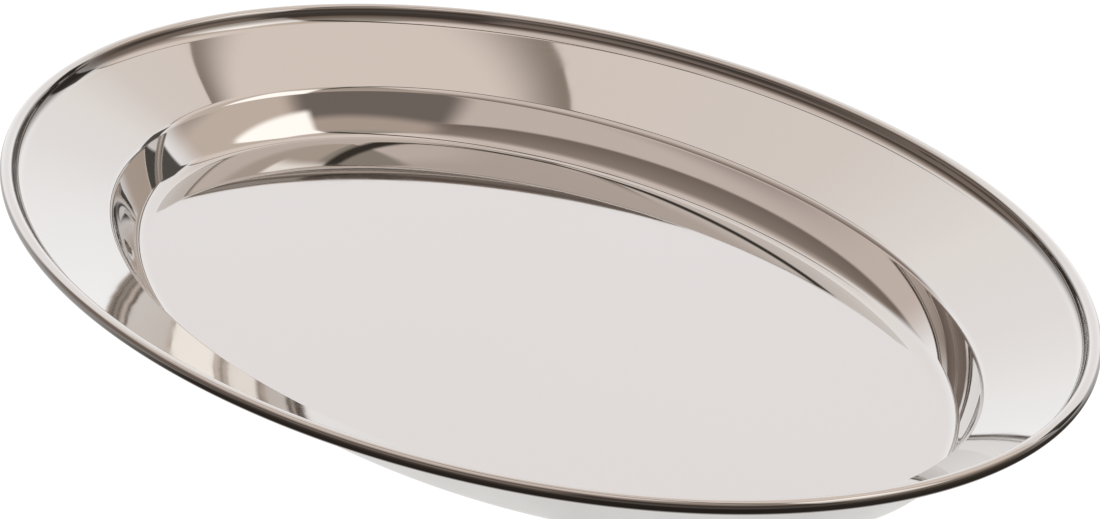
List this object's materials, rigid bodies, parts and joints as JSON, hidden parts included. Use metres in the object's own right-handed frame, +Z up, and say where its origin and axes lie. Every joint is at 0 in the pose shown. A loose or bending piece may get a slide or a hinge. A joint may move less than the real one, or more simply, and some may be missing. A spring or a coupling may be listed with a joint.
{
  "type": "serving tray",
  "caption": "Oval serving tray in mirror-polished steel, with a shallow flat well, a broad sloping flange and an upturned edge rolled round a stiffening wire.",
  "frame": {"origin": "centre of the underside, on the plane that the tray stands on", "axes": "+X along the tray's length, +Y across its width, +Z up out of the well"},
  "size_m": [0.45, 0.3, 0.0337],
  "materials": {
    "polished_steel": "mirror-polished stainless steel with fine polishing lines",
    "drawn_wire": "drawn steel wire, satin"
  },
  "bodies": {
    "root": {"platter": "polished_steel", "rim_wire": "drawn_wire"}
  },
  "joints": []
}
